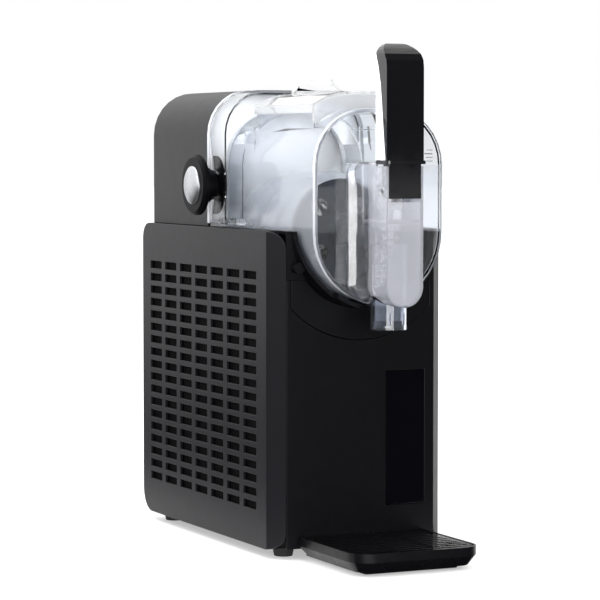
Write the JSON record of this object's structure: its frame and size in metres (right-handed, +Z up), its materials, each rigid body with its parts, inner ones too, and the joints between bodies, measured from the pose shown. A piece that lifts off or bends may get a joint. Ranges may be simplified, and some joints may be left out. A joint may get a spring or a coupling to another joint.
{
  "type": "slushie machine",
  "caption": "Counter-top frozen drink machine: vented dark housing, clear vessel over a chilled drum and auger, lever tap with spout, and a removable drip tray.",
  "frame": {"origin": "on the counter, under the centre of the outer box", "axes": "+Z up, -Y out of the front with the tap, +X to the right seen from the front"},
  "size_m": [0.1934, 0.434, 0.4643],
  "materials": {
    "grey_shell": "satin moulded dark grey plastic",
    "black_shell": "fine satin black plastic",
    "tray_plastic": "semi-gloss black plastic",
    "gloss_black": "polished black",
    "display": "smoked opaque touch glass",
    "clear": "clear polished plastic",
    "white_plastic": "satin white plastic",
    "chrome": "satin chrome plate",
    "steel": "brushed stainless",
    "dark_metal": "black enamel",
    "black_internal": "plain black plastic",
    "fin_aluminium": "mill finish",
    "copper": "bare copper tube",
    "board": "green solder mask",
    "rubber": "matt black rubber",
    "silicone": "translucent pale silicone"
  },
  "bodies": {
    "housing": {"base_pan": "black_shell", "left_side_panel": "grey_shell", "right_side_panel": "grey_shell", "lower_front_panel": "black_shell", "arc_fascia": "black_shell", "cradle_deck": "black_shell", "rear_deck": "black_shell", "rear_panel": "black_shell", "display_glass": "display", "display_board": "board", "power_inlet": "black_internal", "rear_screw_1": "steel", "rear_screw_2": "steel", "rear_screw_3": "steel", "rear_screw_4": "steel", "foot_1": "rubber", "foot_2": "rubber", "foot_3": "rubber", "foot_4": "rubber", "tower_shell": "grey_shell", "bulkhead": "white_plastic", "evaporator_drum": "steel", "front_bearing": "white_plastic", "gearbox": "black_internal", "drive_motor": "dark_metal", "compressor": "dark_metal", "condenser_core": "fin_aluminium", "fan_shroud": "black_internal", "fan_motor": "dark_metal", "suction_line": "copper", "liquid_line": "copper", "control_board": "board", "lock_bracket": "black_shell"},
    "vessel_unit": {"vessel": "clear", "vessel_seal": "silicone", "spout_housing": "clear", "nozzle": "clear", "spring_guide": "clear", "plunger_spring": "steel", "pivot_pin": "steel"},
    "lid_unit": {"lid": "clear"},
    "handle": {"handle_cover": "gloss_black", "handle_insert": "chrome"},
    "plunger_unit": {"plunger": "white_plastic", "plunger_seal": "rubber"},
    "auger_unit": {"auger": "white_plastic", "drive_shaft": "steel"},
    "fan": {"fan_rotor": "black_internal"},
    "knob": {"lock_knob": "black_shell", "knob_cap": "chrome"},
    "tray": {"drip_tray": "tray_plastic"},
    "grid": {"drip_grid": "tray_plastic"}
  },
  "joints": [
    {"name": "vessel_slide", "type": "slide", "parent": "housing", "child": "vessel_unit", "axis": [0, -1, 0], "range_m": [0, 0.19]},
    {"name": "lid_lift", "type": "slide", "parent": "vessel_unit", "child": "lid_unit", "axis": [0, 0, 1], "range_m": [0, 0.06]},
    {"name": "handle_pull", "type": "hinge", "parent": "vessel_unit", "child": "handle", "pos_m": [0.00875, -0.177, 0.3351], "axis": [1, 0, 0], "range_deg": [0, 40], "stiffness_Nm_per_rad": 1.2, "springref_deg": -14.32},
    {"name": "plunger_lift", "type": "slide", "parent": "vessel_unit", "child": "plunger_unit", "axis": [0, 0, 1], "range_m": [0, 0.0157], "deforming": ["plunger_spring"]},
    {"name": "auger_spin", "type": "hinge", "parent": "housing", "child": "auger_unit", "pos_m": [0.00875, 0.002, 0.2966], "axis": [0, 1, 0], "continuous": true},
    {"name": "fan_spin", "type": "hinge", "parent": "housing", "child": "fan", "pos_m": [-0.04125, 0.017, 0.1246], "axis": [1, 0, 0], "continuous": true},
    {"name": "lock_turn", "type": "hinge", "parent": "housing", "child": "knob", "pos_m": [-0.08625, 0.052, 0.3371], "axis": [-1, 0, 0], "range_deg": [0, 90]},
    {"name": "tray_slide", "type": "slide", "parent": "housing", "child": "tray", "axis": [0, -1, 0], "range_m": [0, 0.12]},
    {"name": "grid_lift", "type": "slide", "parent": "tray", "child": "grid", "axis": [0, 0, 1], "range_m": [0, 0.04]}
  ],
  "couplings": [
    {"joint": "plunger_lift", "follows": "handle_pull", "m_per_rad": 0.0224}
  ]
}
